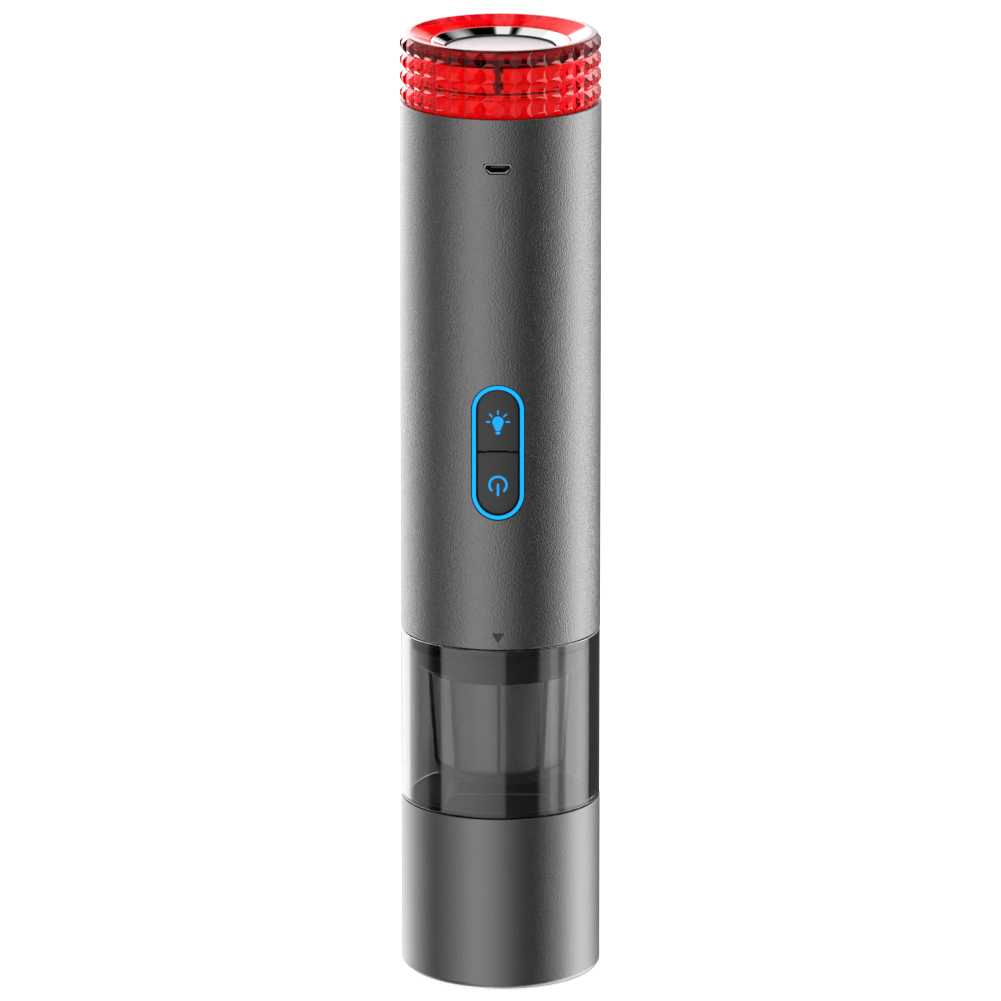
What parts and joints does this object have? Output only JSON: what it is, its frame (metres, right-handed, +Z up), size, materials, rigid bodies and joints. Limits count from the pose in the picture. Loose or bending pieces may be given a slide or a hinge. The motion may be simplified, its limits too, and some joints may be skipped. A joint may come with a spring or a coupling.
{
  "type": "cordless handheld vacuum cleaner",
  "caption": "Upright cylindrical handheld vacuum cleaner with a clear dust cup, tapered filter, front keys, top torch and faceted red warning ring.",
  "frame": {"origin": "centre of the flat base, at the suction mouth", "axes": "+Z up the body to the torch, -Y out of the front with the keys, +X to the right seen from the front"},
  "size_m": [0.055, 0.055, 0.2636],
  "materials": {
    "grey_alloy": "fine sandblasted grey anodised metal with a soft satin sheen",
    "smoked_clear": "smoked clear polycarbonate, polished",
    "dark_plastic": "dark grey moulded plastic",
    "black_plastic": "black moulded plastic",
    "key_black": "satin black key with light-through icon",
    "black_rubber": "soft black rubber",
    "bright_steel": "plain steel",
    "chrome": "vacuum-metallised mirror",
    "red_lens": "clear red polycarbonate, polished, faceted",
    "blue_light_guide": "glowing cyan-blue light guide",
    "lamp_lens_clear": "frosted pale lens",
    "filter_paper": "pleated filter paper",
    "fan_plastic": "grey glass-filled plastic",
    "ferrite": "sintered ferrite",
    "copper_winding": "enamelled copper wire on laminated steel",
    "cell_wrap": "blue shrink sleeve",
    "board_green": "green circuit board",
    "board_white": "white coated lamp board",
    "white_emitter": "phosphor coated LED",
    "red_emitter": "red LED",
    "lead_red": "red insulated lead",
    "lead_black": "black insulated lead"
  },
  "bodies": {
    "dust_cup_unit": {"nozzle_housing": "grey_alloy", "intake_duct": "black_plastic", "flap_pin": "bright_steel", "floor_plate": "black_plastic", "dust_cup": "smoked_clear", "nozzle_screw_1": "bright_steel", "nozzle_screw_2": "bright_steel", "nozzle_screw_3": "bright_steel"},
    "intake_flap_door": {"intake_flap": "black_rubber"},
    "filter_unit": {"filter_collar": "dark_plastic", "filter_cage": "dark_plastic", "filter_mesh": "bright_steel", "pleated_filter": "filter_paper", "cup_seal": "black_rubber"},
    "main_body": {"barrel": "grey_alloy", "bayonet_socket": "black_plastic", "fan_shroud": "dark_plastic", "diffuser": "dark_plastic", "motor_can": "bright_steel", "motor_end_cap": "dark_plastic", "magnet_left": "ferrite", "magnet_right": "ferrite", "bearing_lower": "bright_steel", "bearing_upper": "bright_steel", "motor_mount": "black_rubber", "frame_front": "dark_plastic", "frame_rear": "dark_plastic", "cell_left": "cell_wrap", "cell_right": "cell_wrap", "cell_link_lower": "bright_steel", "cell_link_upper": "bright_steel", "cell_holder": "black_plastic", "main_board": "board_green", "light_switch": "black_plastic", "power_switch": "black_plastic", "motor_lead_left": "lead_red", "motor_lead_right": "lead_black", "key_surround": "blue_light_guide", "key_tray": "black_plastic", "socket_shell": "bright_steel", "socket_tongue": "black_plastic", "lamp_base": "dark_plastic", "lamp_board": "board_white", "lens_liner": "board_white", "lamp_screw_1": "bright_steel", "lamp_screw_2": "bright_steel", "white_emitter": "white_emitter", "red_emitter_1": "red_emitter", "red_emitter_2": "red_emitter", "red_emitter_3": "red_emitter", "red_emitter_4": "red_emitter", "reflector": "chrome", "lamp_lens": "lamp_lens_clear", "warning_ring": "red_lens"},
    "fan_rotor": {"impeller": "fan_plastic", "armature": "copper_winding", "motor_shaft": "bright_steel"},
    "light_button": {"light_key": "key_black"},
    "power_button": {"power_key": "key_black"}
  },
  "joints": [
    {"name": "body_lift", "type": "slide", "parent": "dust_cup_unit", "child": "filter_unit", "axis": [0, 0, 1], "range_m": [0, 0.055]},
    {"name": "body_twist", "type": "hinge", "parent": "filter_unit", "child": "main_body", "pos_m": [0, 0, 0.106], "axis": [0, 0, 1], "range_deg": [0, 25]},
    {"name": "light_press", "type": "slide", "parent": "main_body", "child": "light_button", "axis": [0, 1, 0], "range_m": [0, 0.0006], "stiffness_N_per_m": 1500, "springref_m": -0.0004},
    {"name": "power_press", "type": "slide", "parent": "main_body", "child": "power_button", "axis": [0, 1, 0], "range_m": [0, 0.0006], "stiffness_N_per_m": 1500, "springref_m": -0.0004},
    {"name": "fan_spin", "type": "hinge", "parent": "main_body", "child": "fan_rotor", "pos_m": [0, 0, 0.12], "axis": [0, 0, 1], "continuous": true},
    {"name": "flap_swing", "type": "hinge", "parent": "dust_cup_unit", "child": "intake_flap_door", "pos_m": [0, -0.0069, 0.0374], "axis": [-1, 0, 0], "range_deg": [0, 75]}
  ]
}
